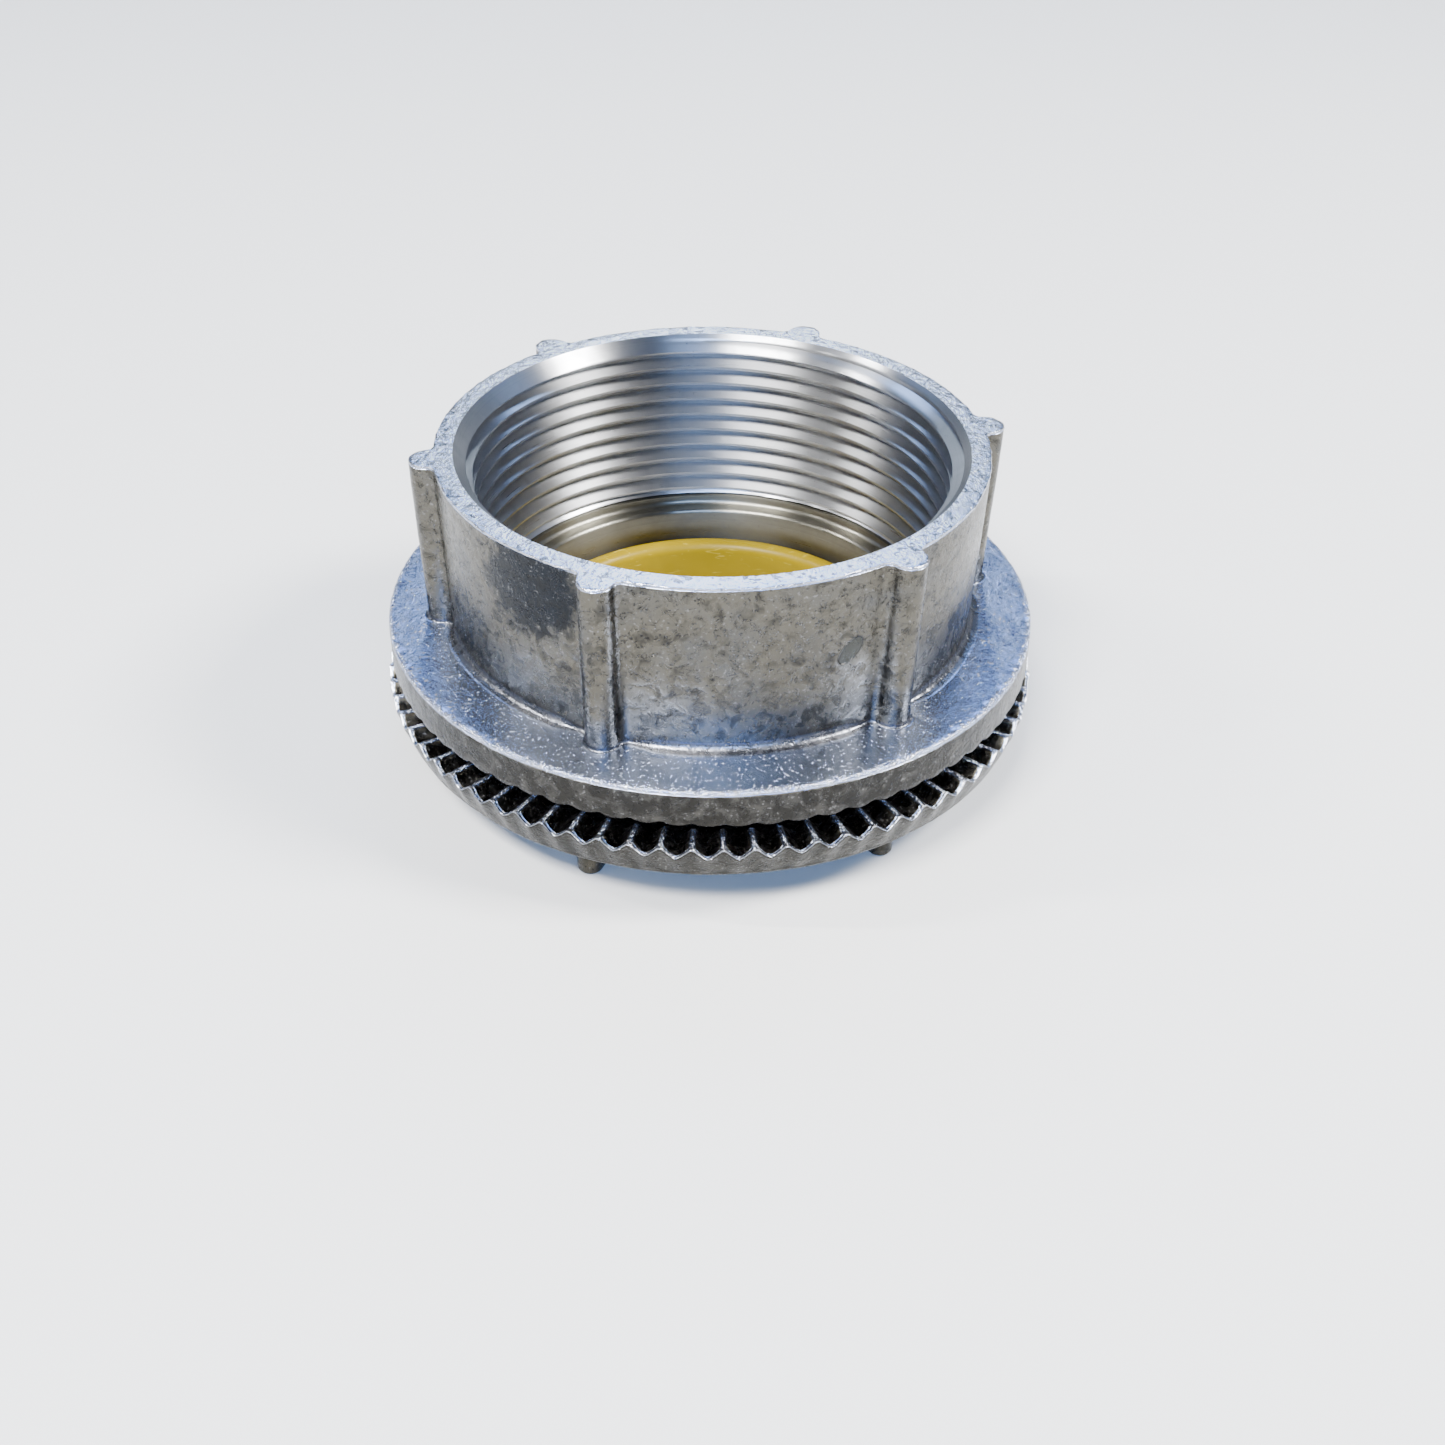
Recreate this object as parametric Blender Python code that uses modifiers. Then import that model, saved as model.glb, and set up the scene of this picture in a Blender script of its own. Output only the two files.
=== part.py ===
"""Threaded conduit hub: a die-cast body, its sealing ring, its locknut and its throat liner.

The hub stands upright on the feet of its locknut. +Z runs up the bore, and the origin lies on
the bore axis at the level of the feet. Lengths are in metres and angles in radians, and every
piece is modelled where it sits with the locknut run a few millimetres short of the hub flange.
"""

import math

import bmesh
import bpy
from mathutils import Matrix

# Fits
FIT_GAP = 0.0003  # between pieces that touch
THREAD_CLEARANCE = 0.0003  # radial, nipple crest to locknut root
EMBED = 0.00025  # how far a joined shape reaches into its neighbour

# Threads: 11 1/2 turns to the inch, 60 degree form
THREAD_PITCH = 0.0254 / 11.5
THREAD_FLANK = math.radians(30)
PIPE_TAPER = 1 / 32  # radius lost for each unit of depth
RUN_OUT_TURNS = 0.35

# Hub socket, whose mouth sets the trade size that the nipple and the flanges follow
SOCKET_MOUTH_RADIUS = 0.0300  # thread root at the rim
SOCKET_THREAD_DEPTH = 0.0014
SOCKET_CREST = 0.00025
SOCKET_WALL = 0.0029  # at the rim
HUB_HEIGHT = 0.02145  # flange top to rim
HUB_LEAN = 0.0006  # how far the rim stands out past the base of the wall
MOUTH_CHAMFER = 0.0006
RELIEF_LENGTH = 0.00305  # plain bore between conduit stop and thread
STOP_DEPTH = 0.0026  # flange top to conduit stop
WALL_FILLET = 0.0016
RIB_COUNT = 6
RIB_PHASE = math.radians(2.5)
RIB_WIDTH = 0.0040
RIB_FILLET = 0.0011
RIB_PROJECTION = 0.0028
RIB_TOP_DROP = 0.00015  # rim to the top of a rib

# Hub flange
HUB_FLANGE_THICKNESS = 0.0048
EDGE_CHAMFER = 0.0004
NOTCH_DEPTH = 0.00055
NOTCH_WIDTH = 0.0018

# Nipple below the flange
NIPPLE_STEP = 0.0004  # socket mouth to nipple crest, radially
NIPPLE_THREAD_DEPTH = 0.0010
STRAIGHT_CREST = 0.00045
NIPPLE_WALL = 0.0026  # thread root to throat
NIPPLE_RISE = 0.0023  # feet to the end of the nipple
NIPPLE_CHAMFER = 0.0006

# Sealing ring's groove in the flange
GROOVE_LAND = 0.0020  # nipple crest to groove
GROOVE_WIDTH = 0.0036
GROOVE_DEPTH = 0.0021

# Teeth that both flanges share
TOOTH_COUNT = 72
TOOTH_PHASE = math.radians(1.0)  # angle of a crest
TOOTH_LAND = 0.0010  # groove to teeth
TOOTH_LENGTH = 0.0038  # along the radius, to the hub flange's edge

# Locknut
NUT_OVERHANG = 0.0007  # past the hub flange
NUT_DRAFT = 0.0011  # how far its edge slopes in towards the feet
NUT_FLANGE_THICKNESS = 0.00485  # with its teeth
NUT_LAND_DROP = 0.00155  # tooth crest to the flat inside the teeth
NUT_TOOTH_DEPTH = 0.00135
NUT_CREST_SHARE = 0.12  # flat share of a tooth's pitch
NUT_TOOTH_RAMP = 0.0005
COLLAR_WALL = 0.0028
COLLAR_RISE = 0.0012  # feet to collar
LUG_COUNT = 6
LUG_HEIGHT = 0.0057  # feet to flange
LUG_WIDTH = 0.0031
LUG_FILLET = 0.0008
LUG_PROJECTION = 0.0032
CLAMP_GAP = 0.00275  # tooth crest to hub flange

# Throat liner
LINER_WALL = 0.0027
LINER_DEPTH = 0.0064  # flange top to liner lip
LINER_FOOT_INSET = 0.0005  # nipple's thread root to the foot's edge
LINER_FOOT_THICKNESS = 0.0012
LINER_CHAMFER = 0.0004

# Facets
TURNED_STEPS = 72
SMALL_TURNED_STEPS = 48
THREAD_STEPS = 30  # in one turn
ARC_STEPS = 4

# Heights above the feet
NUT_CREST_Z = LUG_HEIGHT + NUT_FLANGE_THICKNESS
NUT_LAND_Z = NUT_CREST_Z - NUT_LAND_DROP
FLANGE_BOTTOM_Z = NUT_CREST_Z + CLAMP_GAP
GROOVE_TOP_Z = FLANGE_BOTTOM_Z + GROOVE_DEPTH
FLANGE_TOP_Z = FLANGE_BOTTOM_Z + HUB_FLANGE_THICKNESS
RIM_Z = FLANGE_TOP_Z + HUB_HEIGHT
STOP_Z = FLANGE_TOP_Z - STOP_DEPTH
SOCKET_END_Z = STOP_Z + RELIEF_LENGTH
NIPPLE_THREAD_TOP_Z = FLANGE_BOTTOM_Z - THREAD_PITCH / 2

# Radii, from the bore outwards
RIM_RADIUS = SOCKET_MOUTH_RADIUS + SOCKET_WALL
HUB_BASE_RADIUS = RIM_RADIUS - HUB_LEAN
SOCKET_END_RADIUS = SOCKET_MOUTH_RADIUS - (RIM_Z - SOCKET_END_Z) * PIPE_TAPER
RELIEF_RADIUS = SOCKET_END_RADIUS - SOCKET_THREAD_DEPTH
NIPPLE_CREST_RADIUS = SOCKET_MOUTH_RADIUS - NIPPLE_STEP
NIPPLE_ROOT_RADIUS = NIPPLE_CREST_RADIUS - NIPPLE_THREAD_DEPTH
THROAT_RADIUS = NIPPLE_ROOT_RADIUS - NIPPLE_WALL
GROOVE_INNER_RADIUS = NIPPLE_CREST_RADIUS + GROOVE_LAND
GROOVE_OUTER_RADIUS = GROOVE_INNER_RADIUS + GROOVE_WIDTH
TOOTH_INNER_RADIUS = GROOVE_OUTER_RADIUS + TOOTH_LAND
HUB_FLANGE_RADIUS = TOOTH_INNER_RADIUS + TOOTH_LENGTH
NUT_RADIUS = HUB_FLANGE_RADIUS + NUT_OVERHANG
NUT_ROOT_RADIUS = NIPPLE_CREST_RADIUS + THREAD_CLEARANCE
COLLAR_RADIUS = NUT_ROOT_RADIUS + COLLAR_WALL


def clear_scene():
    for obj in list(bpy.data.objects):
        bpy.data.objects.remove(obj, do_unlink=True)


def new_collection(name):
    collection = bpy.data.collections.new(name)
    bpy.context.scene.collection.children.link(collection)
    return collection


def new_material(name, colour, roughness, metallic):
    material = bpy.data.materials.new(name)
    material.use_nodes = True
    shader = material.node_tree.nodes["Principled BSDF"]
    shader.inputs["Base Color"].default_value = (*colour, 1)
    shader.inputs["Roughness"].default_value = roughness
    shader.inputs["Metallic"].default_value = metallic
    return material


def new_object(name, mesh, collection):
    obj = bpy.data.objects.new(name, mesh)
    collection.objects.link(obj)
    return obj


def helper_object(name, mesh, collection):
    """An object that only shapes others, so it is drawn as wire and never rendered."""
    obj = new_object(name, mesh, collection)
    obj.hide_render = True
    obj.display_type = "WIRE"
    return obj


def evaluated_mesh(obj):
    """The object's mesh as its modifiers leave it. The object itself is removed."""
    bpy.context.view_layer.update()
    graph = bpy.context.evaluated_depsgraph_get()
    mesh = bpy.data.meshes.new_from_object(obj.evaluated_get(graph))
    bpy.data.objects.remove(obj)
    return mesh


def arc(centre, radius, start, end):
    """Points along an arc between two angles in degrees, both ends included."""
    angles = [math.radians(start + (end - start) * i / ARC_STEPS) for i in range(ARC_STEPS + 1)]
    return [(centre[0] + radius * math.cos(a), centre[1] + radius * math.sin(a)) for a in angles]


def profile_object(name, points, collection):
    """A closed loop of edges in the XZ plane."""
    mesh = bpy.data.meshes.new(name)
    edges = [(i, (i + 1) % len(points)) for i in range(len(points))]
    mesh.from_pydata([(x, 0, z) for x, z in points], edges, [])
    return new_object(name, mesh, collection)


def turned_object(name, points, steps, collection):
    """A ring turned from a closed outline that runs down its outer side."""
    obj = profile_object(name, points, collection)
    screw = obj.modifiers.new("Turn", "SCREW")
    screw.steps = screw.render_steps = steps
    screw.use_merge_vertices = True
    screw.merge_threshold = 0.00001
    screw.use_smooth_shade = True
    return obj


def unite(obj, others):
    for other in others:
        modifier = obj.modifiers.new("Join " + other.name, "BOOLEAN")
        modifier.operation = "UNION"
        modifier.object = other


def cut(obj, cutter):
    modifier = obj.modifiers.new("Cut " + cutter.name, "BOOLEAN")
    modifier.operation = "DIFFERENCE"
    modifier.object = cutter


def thread_ridge(name, root, reach, crest_width, bottom, top, phase, taper, collection):
    """A right-hand helical ridge on a wall of radius root, rising to root + reach.

    A negative reach points inwards. phase is the angle of its top end. Both ends sink into the
    wall, and a taper narrows the helix by that much radius for each unit below its top.
    """
    side = math.copysign(1, reach)
    base_width = crest_width + 2 * (abs(reach) + EMBED) * math.tan(THREAD_FLANK)
    base_radius = root - side * EMBED
    outline = [
        (root + reach, crest_width / 2),
        (root + reach, -crest_width / 2),
        (base_radius, -base_width / 2),
        (base_radius, base_width / 2),
    ]
    helix = profile_object(name, outline, collection)
    turns = (top - bottom) / THREAD_PITCH
    steps = round(turns * THREAD_STEPS)
    screw = helix.modifiers.new("Helix", "SCREW")
    screw.angle = -2 * math.pi * steps / THREAD_STEPS
    screw.screw_offset = -THREAD_PITCH * steps / THREAD_STEPS
    screw.steps = screw.render_steps = steps
    screw.use_merge_vertices = False
    mesh = evaluated_mesh(helix)
    points = bmesh.new()
    points.from_mesh(mesh)
    run_out = RUN_OUT_TURNS * THREAD_STEPS
    points.verts.ensure_lookup_table()
    for vertex in points.verts:
        step = vertex.index // len(outline)
        height = min(1, 0.1 + 0.9 * min(step, steps - step) / run_out)
        radius = vertex.co.xy.length
        wanted = base_radius + (radius - base_radius) * height + taper * vertex.co.z
        vertex.co.xy *= wanted / radius
        vertex.co.z += top
    ends = [edge for edge in points.edges if edge.is_boundary]
    bmesh.ops.holes_fill(points, edges=ends, sides=len(outline))
    bmesh.ops.recalc_face_normals(points, faces=points.faces)
    # Half a facet on from the wall's own columns, so that no edges of the two coincide.
    turn = Matrix.Rotation(phase + math.pi / TURNED_STEPS, 3, "Z")
    bmesh.ops.rotate(points, verts=points.verts, cent=(0, 0, 0), matrix=turn)
    points.to_mesh(mesh)
    points.free()
    return helper_object(name, mesh, collection)


def ring_of_copies(name, mesh, count, phase, collection):
    """Copies of a mesh turned about the Z axis, all in one helper object."""
    ring = bmesh.new()
    for i in range(count):
        copy = mesh.copy()
        copy.transform(Matrix.Rotation(phase + 2 * math.pi * i / count, 4, "Z"))
        ring.from_mesh(copy)
        bpy.data.meshes.remove(copy)
    bmesh.ops.recalc_face_normals(ring, faces=ring.faces)
    ring_mesh = bpy.data.meshes.new(name)
    ring.to_mesh(ring_mesh)
    ring.free()
    return helper_object(name, ring_mesh, collection)


def rib_mesh(name, wall, reach, width, fillet, bottom, top, lean, collection):
    """A rib along +X with a round nose and hollow fillets, standing on a wall of that radius.

    lean is how much further out the top lies than the bottom.
    """
    foot = math.sqrt(wall**2 - (width / 2 + fillet) ** 2) - EMBED
    fillet = min(fillet, reach - width / 2 - foot)
    half = width / 2 + fillet
    outline = [(foot - fillet, -half)]
    outline += arc((foot + fillet, -half), fillet, 180, 90)
    outline += arc((reach - width / 2, 0), width / 2, -90, 90)
    outline += arc((foot + fillet, half), fillet, 270, 180)
    outline.append((foot - fillet, half))
    curve = bpy.data.curves.new(name, "CURVE")
    curve.dimensions = "2D"
    curve.fill_mode = "BOTH"
    curve.extrude = (top - bottom) / 2
    spline = curve.splines.new("POLY")
    spline.points.add(len(outline) - 1)
    for point, (x, y) in zip(spline.points, outline):
        point.co = (x, y, 0, 1)
    spline.use_cyclic_u = True
    mesh = evaluated_mesh(new_object(name, curve, collection))
    shape = bmesh.new()
    shape.from_mesh(mesh)
    bmesh.ops.remove_doubles(shape, verts=shape.verts, dist=0.000001)
    for vertex in shape.verts:
        share = vertex.co.z / (top - bottom) + 0.5
        vertex.co.x += lean * share
        vertex.co.z = bottom + (top - bottom) * share
    shape.to_mesh(mesh)
    shape.free()
    return mesh


def groove_mesh(name, inner, outer, width, depth, surface, upward):
    """A three-sided wedge along +X whose edges all point at the axis, from inner to outer radius.

    It cuts a V of the given width and depth, measured at the outer radius, into a flat face.
    """
    lift = 0.08 * depth
    spread = width * (depth + lift) / (depth * outer * math.sqrt(3))
    drop = -(depth + lift) / (1.5 * outer)
    slope = lift / outer + drop / 2
    flip = -1 if upward else 1
    middle = (inner + outer) / 2
    place = Matrix(
        (
            (0, 0, 1, middle),
            (spread, 0, 0, 0),
            (0, flip * drop, flip * slope, flip * slope * middle + surface),
            (0, 0, 0, 1),
        )
    )
    wedge = bmesh.new()
    bmesh.ops.create_cone(
        wedge, cap_ends=True, segments=3, radius1=inner, radius2=outer, depth=outer - inner, matrix=place
    )
    mesh = bpy.data.meshes.new(name)
    wedge.to_mesh(mesh)
    wedge.free()
    return mesh


def hub_outline():
    outer_side = [
        (RIM_RADIUS - EDGE_CHAMFER, RIM_Z),
        (RIM_RADIUS, RIM_Z - EDGE_CHAMFER),
        *arc((HUB_BASE_RADIUS + WALL_FILLET, FLANGE_TOP_Z + WALL_FILLET), WALL_FILLET, 180, 270),
        (HUB_FLANGE_RADIUS - EDGE_CHAMFER, FLANGE_TOP_Z),
        (HUB_FLANGE_RADIUS, FLANGE_TOP_Z - EDGE_CHAMFER),
        (HUB_FLANGE_RADIUS, FLANGE_BOTTOM_Z),
    ]
    underside = [
        (GROOVE_OUTER_RADIUS, FLANGE_BOTTOM_Z),
        (GROOVE_OUTER_RADIUS, GROOVE_TOP_Z),
        (GROOVE_INNER_RADIUS, GROOVE_TOP_Z),
        (GROOVE_INNER_RADIUS, FLANGE_BOTTOM_Z),
        (NIPPLE_ROOT_RADIUS, FLANGE_BOTTOM_Z),
        (NIPPLE_ROOT_RADIUS, NIPPLE_RISE + NIPPLE_CHAMFER),
        (NIPPLE_ROOT_RADIUS - NIPPLE_CHAMFER, NIPPLE_RISE),
    ]
    inner_side = [
        (THROAT_RADIUS, NIPPLE_RISE),
        (THROAT_RADIUS, STOP_Z),
        (RELIEF_RADIUS, STOP_Z),
        (RELIEF_RADIUS, SOCKET_END_Z - SOCKET_THREAD_DEPTH),
        (SOCKET_END_RADIUS, SOCKET_END_Z),
        (SOCKET_MOUTH_RADIUS - MOUTH_CHAMFER * PIPE_TAPER, RIM_Z - MOUTH_CHAMFER),
        (SOCKET_MOUTH_RADIUS + MOUTH_CHAMFER, RIM_Z),
    ]
    return outer_side + underside + inner_side


def hub_ribs(helpers):
    rib = rib_mesh(
        "rib",
        HUB_BASE_RADIUS,
        HUB_BASE_RADIUS + RIB_PROJECTION,
        RIB_WIDTH,
        RIB_FILLET,
        FLANGE_TOP_Z - HUB_FLANGE_THICKNESS / 4,
        RIM_Z - RIB_TOP_DROP,
        HUB_LEAN,
        helpers,
    )
    return ring_of_copies("hub_ribs", rib, RIB_COUNT, RIB_PHASE, helpers)


def hub_threads(helpers):
    """The ridges of the tapered socket thread and of the straight nipple thread."""
    socket_top = RIM_Z - MOUTH_CHAMFER - THREAD_PITCH / 2
    socket_thread = thread_ridge(
        "socket_thread",
        SOCKET_MOUTH_RADIUS - (RIM_Z - socket_top) * PIPE_TAPER,
        -SOCKET_THREAD_DEPTH,
        SOCKET_CREST,
        SOCKET_END_Z + THREAD_PITCH / 2,
        socket_top,
        0,
        PIPE_TAPER,
        helpers,
    )
    nipple_thread = thread_ridge(
        "nipple_thread",
        NIPPLE_ROOT_RADIUS,
        NIPPLE_THREAD_DEPTH,
        STRAIGHT_CREST,
        NIPPLE_RISE + THREAD_PITCH / 2,
        NIPPLE_THREAD_TOP_Z,
        0,
        0,
        helpers,
    )
    return [socket_thread, nipple_thread]


def make_hub(collection, helpers, material):
    hub = turned_object("hub_body", hub_outline(), TURNED_STEPS, collection)
    unite(hub, [hub_ribs(helpers), *hub_threads(helpers)])
    notch = groove_mesh(
        "flange_notch",
        TOOTH_INNER_RADIUS,
        HUB_FLANGE_RADIUS + NOTCH_DEPTH,
        NOTCH_WIDTH,
        NOTCH_DEPTH,
        FLANGE_BOTTOM_Z,
        upward=True,
    )
    cut(hub, ring_of_copies("flange_notches", notch, TOOTH_COUNT, TOOTH_PHASE, helpers))
    hub.data.materials.append(material)
    return hub


def make_sealing_ring(collection, material):
    radius = GROOVE_WIDTH / 2 - FIT_GAP
    bpy.ops.mesh.primitive_torus_add(
        major_segments=SMALL_TURNED_STEPS,
        minor_segments=12,
        major_radius=(GROOVE_INNER_RADIUS + GROOVE_OUTER_RADIUS) / 2,
        minor_radius=radius,
        location=(0, 0, GROOVE_TOP_Z - FIT_GAP - radius),
    )
    ring = bpy.context.object
    ring.name = "sealing_ring"
    for parent in list(ring.users_collection):
        parent.objects.unlink(ring)
    collection.objects.link(ring)
    ring.data.shade_smooth()
    ring.data.materials.append(material)
    return ring


def nut_outline():
    chamfer = NIPPLE_THREAD_DEPTH / 2
    return [
        (NUT_RADIUS, NUT_CREST_Z),
        (NUT_RADIUS - NUT_DRAFT, LUG_HEIGHT),
        (COLLAR_RADIUS, LUG_HEIGHT),
        (COLLAR_RADIUS, COLLAR_RISE + EDGE_CHAMFER),
        (COLLAR_RADIUS - EDGE_CHAMFER, COLLAR_RISE),
        (NUT_ROOT_RADIUS + chamfer, COLLAR_RISE),
        (NUT_ROOT_RADIUS, COLLAR_RISE + chamfer),
        (NUT_ROOT_RADIUS, NUT_LAND_Z - chamfer),
        (NUT_ROOT_RADIUS + chamfer, NUT_LAND_Z),
        (TOOTH_INNER_RADIUS, NUT_LAND_Z),
        (TOOTH_INNER_RADIUS + NUT_TOOTH_RAMP, NUT_CREST_Z),
    ]


def nut_lugs(helpers):
    lug = rib_mesh(
        "lug",
        COLLAR_RADIUS,
        COLLAR_RADIUS + LUG_PROJECTION,
        LUG_WIDTH,
        LUG_FILLET,
        0,
        (LUG_HEIGHT + NUT_LAND_Z) / 2,
        0,
        helpers,
    )
    return ring_of_copies("locknut_lugs", lug, LUG_COUNT, 0, helpers)


def nut_thread(helpers):
    """A ridge half a turn round from the nipple's, so that each lies in the other's valley."""
    highest = NUT_LAND_Z - THREAD_PITCH / 2
    steps_down = math.ceil((NIPPLE_THREAD_TOP_Z - highest) / THREAD_PITCH * THREAD_STEPS)
    turns_down = steps_down / THREAD_STEPS
    return thread_ridge(
        "nut_thread",
        NUT_ROOT_RADIUS,
        -NIPPLE_THREAD_DEPTH,
        STRAIGHT_CREST,
        COLLAR_RISE + THREAD_PITCH / 2,
        NIPPLE_THREAD_TOP_Z - turns_down * THREAD_PITCH,
        2 * math.pi * (0.5 - turns_down),
        0,
        helpers,
    )


def tooth_grooves(helpers):
    outer = NUT_RADIUS + NUT_TOOTH_DEPTH
    pitch = 2 * math.pi * outer / TOOTH_COUNT
    groove = groove_mesh(
        "tooth_groove",
        TOOTH_INNER_RADIUS - NUT_TOOTH_RAMP,
        outer,
        pitch * (1 - NUT_CREST_SHARE),
        NUT_TOOTH_DEPTH * outer / NUT_RADIUS,
        NUT_CREST_Z,
        upward=False,
    )
    phase = TOOTH_PHASE + math.pi / TOOTH_COUNT
    return ring_of_copies("tooth_grooves", groove, TOOTH_COUNT, phase, helpers)


def make_locknut(collection, helpers, material):
    nut = turned_object("locknut", nut_outline(), TURNED_STEPS, collection)
    unite(nut, [nut_lugs(helpers), nut_thread(helpers)])
    cut(nut, tooth_grooves(helpers))
    nut.data.materials.append(material)
    return nut


def make_throat_liner(collection, material):
    outer = THROAT_RADIUS - FIT_GAP
    bore = outer - LINER_WALL
    lip_centre = (outer - LINER_WALL / 2, FLANGE_TOP_Z - LINER_DEPTH - LINER_WALL / 2)
    foot_radius = NIPPLE_ROOT_RADIUS - LINER_FOOT_INSET
    foot_top = NIPPLE_RISE - FIT_GAP
    foot_bottom = foot_top - LINER_FOOT_THICKNESS
    outline = arc(lip_centre, LINER_WALL / 2, 180, 90)
    outline += arc(lip_centre, LINER_WALL / 2, 90, 0)[1:]
    outline += [
        (outer, foot_top),
        (foot_radius, foot_top),
        (foot_radius, foot_bottom + LINER_CHAMFER),
        (foot_radius - LINER_CHAMFER, foot_bottom),
        (bore + LINER_CHAMFER, foot_bottom),
        (bore, foot_bottom + LINER_CHAMFER),
    ]
    liner = turned_object("throat_liner", outline, SMALL_TURNED_STEPS, collection)
    liner.data.materials.append(material)
    return liner


def main():
    clear_scene()
    parts = new_collection("conduit_hub")
    helpers = new_collection("cutters")
    zinc = new_material("die_cast_zinc", (0.60, 0.61, 0.62), 0.38, 1.0)
    nut_zinc = new_material("die_cast_zinc_nut", (0.52, 0.52, 0.52), 0.45, 1.0)
    rubber = new_material("black_rubber", (0.02, 0.02, 0.02), 0.7, 0.0)
    plastic = new_material("yellow_plastic", (0.80, 0.55, 0.03), 0.35, 0.0)

    screw_axis = new_object("screw_axis", None, parts)
    make_locknut(parts, helpers, nut_zinc)
    for piece in (
        make_hub(parts, helpers, zinc),
        make_sealing_ring(parts, rubber),
        make_throat_liner(parts, plastic),
    ):
        piece.parent = screw_axis


main()
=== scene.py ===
"""The threaded conduit hub in detail: castings, cut threads, sealing ring, liner, floor and lights.

Lengths are in metres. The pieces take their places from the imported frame: +Z runs up the bore and
the origin lies on the bore axis at the feet of the locknut.
"""
import math
from enum import IntEnum

import bmesh
import bpy
from mathutils import Euler, Matrix, Vector, noise


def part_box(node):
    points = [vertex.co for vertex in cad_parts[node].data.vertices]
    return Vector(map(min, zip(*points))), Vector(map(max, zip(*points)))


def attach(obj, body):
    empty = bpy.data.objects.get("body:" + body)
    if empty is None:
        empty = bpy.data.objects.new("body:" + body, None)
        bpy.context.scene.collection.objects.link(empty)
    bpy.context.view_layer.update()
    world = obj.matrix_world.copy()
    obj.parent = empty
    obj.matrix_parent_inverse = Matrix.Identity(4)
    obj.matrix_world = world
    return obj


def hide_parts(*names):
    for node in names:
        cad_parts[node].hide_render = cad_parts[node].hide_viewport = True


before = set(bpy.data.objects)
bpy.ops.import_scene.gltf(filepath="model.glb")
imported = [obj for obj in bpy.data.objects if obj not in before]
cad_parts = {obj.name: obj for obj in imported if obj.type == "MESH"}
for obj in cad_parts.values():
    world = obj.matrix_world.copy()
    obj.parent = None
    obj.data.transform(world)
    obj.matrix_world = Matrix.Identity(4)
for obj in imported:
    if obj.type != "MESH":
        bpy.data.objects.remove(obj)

bl_info = {
    "name": "Threaded conduit hub",
    "version": (1, 0, 0),
    "blender": (4, 5, 0),
    "location": "3D View > Sidebar > Conduit hub",
    "description": "Builds a die-cast conduit hub with its locknut, sealing ring and throat liner",
    "category": "Add Mesh",
}

MM = 0.001
HUB_LOW, HUB_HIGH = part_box("hub_body")
NUT_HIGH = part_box("locknut")[1]
RING_LOW, RING_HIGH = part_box("sealing_ring")
LINER_LOW, LINER_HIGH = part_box("throat_liner")

THREAD_STEPS = 144  # in one turn
FLANK_STEPS = 4  # across a thread's flank
NOSE_STEPS, FILLET_STEPS = 8, 6  # round half a rib's nose, and its fillet
COLUMNS_PER_TOOTH = 8
TOOTH_COUNT = 72
COLUMNS_PER_NUT_TOOTH = 10
RIB_COUNT = 6
LUG_COUNT = 6
ROUND_STEPS = 240  # round the ring and the liner
WALL_START = 0.5 * MM  # rim to the first row of the wall
LOW_BREAK = 0.2 * MM  # broken corner under the flange's edge
NOTCH_RISE = 1.2 * MM  # how far the scallops fade up the flange's edge
RING_GAP = 0.3 * MM  # ring to groove
# Columns of one tooth: place as a share of half its pitch from the crest, and share of its depth
TOOTH_COLUMNS = (
    (-1.0, 0.97), (-0.76, 0.80), (-0.50, 0.50), (-0.28, 0.22), (-0.13, 0.04),
    (0.0, 0.0), (0.13, 0.04), (0.28, 0.22), (0.50, 0.50), (0.76, 0.80),
)
WELD = 0.002 * MM  # closer points than this become one
SOCKET_CREST = 0.25 * MM  # flat on a thread's crest
STRAIGHT_CREST = 0.45 * MM
SOCKET_TAPER = 1 / 32  # radius lost for each unit of depth

# Ovals on the front of the hub's wall: radius, turn and height of the middle, width and height, tilt
PIN_MARK = (32.6 * MM, math.radians(-68.5), 29.3 * MM), (4.0 * MM, 2.3 * MM), 0.87
# The painted dark reflection on the front-left wall, between two ribs
DARK_REFLECTION = (32.8 * MM, math.radians(-133), 35.5 * MM), (19 * MM, 15 * MM), 0.5
MARK_REACH = 8 * MM  # how deep into the wall a mark reaches

# How worn a place is, and its painted light: painted shade below 0, painted sky sheen above 0.1, bare metal
# near 1
PAINTED_SHADE, FOOT_WEAR_AND_SHEEN, FLAT_WEAR_AND_SHEEN, CORNER_WEAR, TOOTH_WEAR, EDGE_WEAR = -0.4, 0.2, 0.5, 0.72, 0.75, 1.0

# The stage, seen from its front
CAMERA_TURN = math.radians(-6.5)  # the front, round from the -Y direction
CAMERA_LIFT = math.radians(32.263)
CAMERA_DISTANCE = 0.2213
CAMERA_TARGET = Vector((0, 0, 18.1 * MM))
CAMERA_AIM = Euler((math.radians(-4.181), math.radians(-0.382), math.radians(0.731)))
LENS, SENSOR = 43.71, 36
LIGHT_TARGET = Vector((0, 0, 20 * MM))
FLOOR_RADIUS = 3.0
WHITE, PALE_BLUE, COOL = (1.0, 0.98, 0.95), (0.75, 0.87, 1.0), (0.36, 0.56, 1.0)
# name: degrees round from the front to the right, degrees up, distance, size, power and tint
LIGHTS = {
    "key": (-30, 56, 0.9, (0.34, 0.20), 29.0, WHITE),
    "right_bank": (82, 46, 0.8, (0.20, 0.20), 20.0, WHITE),
    "strip": (-91, 45, 0.8, (0.02, 0.20), 5.5, WHITE),
    "glint": (-60, 32, 0.9, (0.10, 0.14), 1.2, WHITE),
    "front": (2, 32, 1.0, (0.60, 0.30), 13.0, COOL),
    "back": (180, 33, 0.9, (0.18, 0.20), 2.0, PALE_BLUE),
    "back_high": (180, 52, 0.9, (0.9, 0.20), 6.5, COOL),
}
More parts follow.
